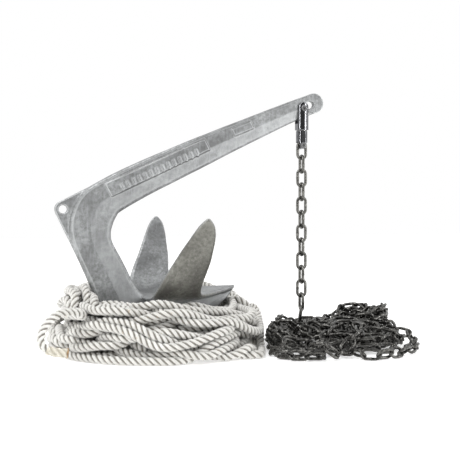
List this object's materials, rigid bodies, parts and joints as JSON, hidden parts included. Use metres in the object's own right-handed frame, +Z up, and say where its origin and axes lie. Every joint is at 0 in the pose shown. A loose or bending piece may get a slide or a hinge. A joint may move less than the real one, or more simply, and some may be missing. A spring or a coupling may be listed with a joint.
{
  "type": "boat anchor",
  "caption": "Three-fluke cast claw anchor with a double-fork swivel, a hanging chain, a heap of spare chain and a heap of laid rope with a loose end.",
  "frame": {"origin": "on the ground, in the anchor's middle plane, half way along the anchor casting", "axes": "+X from the bend of the shank to its eye, +Y across the flukes, +Z up"},
  "size_m": [0.7744, 0.52, 0.5205],
  "materials": {
    "galvanised_casting": "hot-dip galvanised cast steel, dull and weathered",
    "polished_steel": "polished stainless steel",
    "grub_screw_steel": "blackened screw steel",
    "galvanised_chain": "galvanised welded chain, dull",
    "laid_rope": "three-strand laid polyester",
    "clear_sleeve": "shrunk clear plastic sleeve"
  },
  "bodies": {
    "anchor": {"anchor_casting": "galvanised_casting", "chain_pile": "galvanised_chain", "chain_pile_top": "galvanised_chain", "rope_heap": "laid_rope", "rope_heap_upper": "laid_rope", "rope_tail": "laid_rope", "rope_end_sleeve": "clear_sleeve"},
    "shank_pin_body": {"shank_pin": "polished_steel"},
    "swivel_upper": {"upper_jaw": "polished_steel", "upper_grub_screw": "grub_screw_steel", "thrust_washer": "polished_steel"},
    "swivel_lower": {"lower_jaw": "polished_steel", "swivel_bolt": "polished_steel", "chain_pin": "polished_steel", "lower_grub_screw": "grub_screw_steel"},
    "link_01": {"chain_link_01": "galvanised_chain"},
    "link_02": {"chain_link_02": "galvanised_chain"},
    "link_03": {"chain_link_03": "galvanised_chain"},
    "link_04": {"chain_link_04": "galvanised_chain"},
    "link_05": {"chain_link_05": "galvanised_chain"},
    "link_06": {"chain_link_06": "galvanised_chain"},
    "link_07": {"chain_link_07": "galvanised_chain"},
    "link_08": {"chain_link_08": "galvanised_chain"},
    "link_09": {"chain_link_09": "galvanised_chain"},
    "link_10": {"chain_link_10": "galvanised_chain"},
    "link_11": {"chain_link_11": "galvanised_chain"},
    "link_12": {"chain_link_12": "galvanised_chain"}
  },
  "joints": [
    {"name": "pin_slide", "type": "slide", "parent": "anchor", "child": "shank_pin_body", "axis": [0.9304, 0, 0.3665], "range_m": [0, 0.019]},
    {"name": "jaw_swing", "type": "hinge", "parent": "shank_pin_body", "child": "swivel_upper", "pos_m": [0.23363, 0, 0.48836], "axis": [0, -1, 0], "range_deg": [-7, 45]},
    {"name": "swivel_turn", "type": "hinge", "parent": "swivel_upper", "child": "swivel_lower", "pos_m": [0.23363, 0, 0.44296], "axis": [0, 0, 1], "continuous": true},
    {"name": "link_01_swing", "type": "hinge", "parent": "swivel_lower", "child": "link_01", "pos_m": [0.23363, 0, 0.41096], "axis": [0, 1, 0], "range_deg": [-20, 20]},
    {"name": "link_02_swing", "type": "hinge", "parent": "link_01", "child": "link_02", "pos_m": [0.23363, 0, 0.38351], "axis": [1, 0, 0], "range_deg": [-60, 60]},
    {"name": "link_03_swing", "type": "hinge", "parent": "link_02", "child": "link_03", "pos_m": [0.23363, 0, 0.35456], "axis": [0, -1, 0], "range_deg": [-25, 25]},
    {"name": "link_04_swing", "type": "hinge", "parent": "link_03", "child": "link_04", "pos_m": [0.23363, 0, 0.32561], "axis": [-1, 0, 0], "range_deg": [-60, 60]},
    {"name": "link_05_swing", "type": "hinge", "parent": "link_04", "child": "link_05", "pos_m": [0.23363, 0, 0.29666], "axis": [0, -1, 0], "range_deg": [-30, 30]},
    {"name": "link_06_swing", "type": "hinge", "parent": "link_05", "child": "link_06", "pos_m": [0.23363, 0, 0.26771], "axis": [-1, 0, 0], "range_deg": [-60, 60]},
    {"name": "link_07_swing", "type": "hinge", "parent": "link_06", "child": "link_07", "pos_m": [0.23363, 0, 0.23876], "axis": [0, 1, 0], "range_deg": [-40, 40]},
    {"name": "link_08_swing", "type": "hinge", "parent": "link_07", "child": "link_08", "pos_m": [0.23363, 0, 0.20981], "axis": [1, 0, 0], "range_deg": [-60, 60]},
    {"name": "link_09_swing", "type": "hinge", "parent": "link_08", "child": "link_09", "pos_m": [0.23363, 0, 0.18086], "axis": [0, 1, 0], "range_deg": [-45, 45]},
    {"name": "link_10_swing", "type": "hinge", "parent": "link_09", "child": "link_10", "pos_m": [0.23363, 0, 0.15191], "axis": [1, 0, 0], "range_deg": [-60, 60]},
    {"name": "link_11_swing", "type": "hinge", "parent": "link_10", "child": "link_11", "pos_m": [0.23363, 0, 0.12296], "axis": [0, -1, 0], "range_deg": [-45, 45]},
    {"name": "link_12_swing", "type": "hinge", "parent": "link_11", "child": "link_12", "pos_m": [0.23363, 0, 0.09401], "axis": [-1, 0, 0], "range_deg": [-60, 60]}
  ]
}
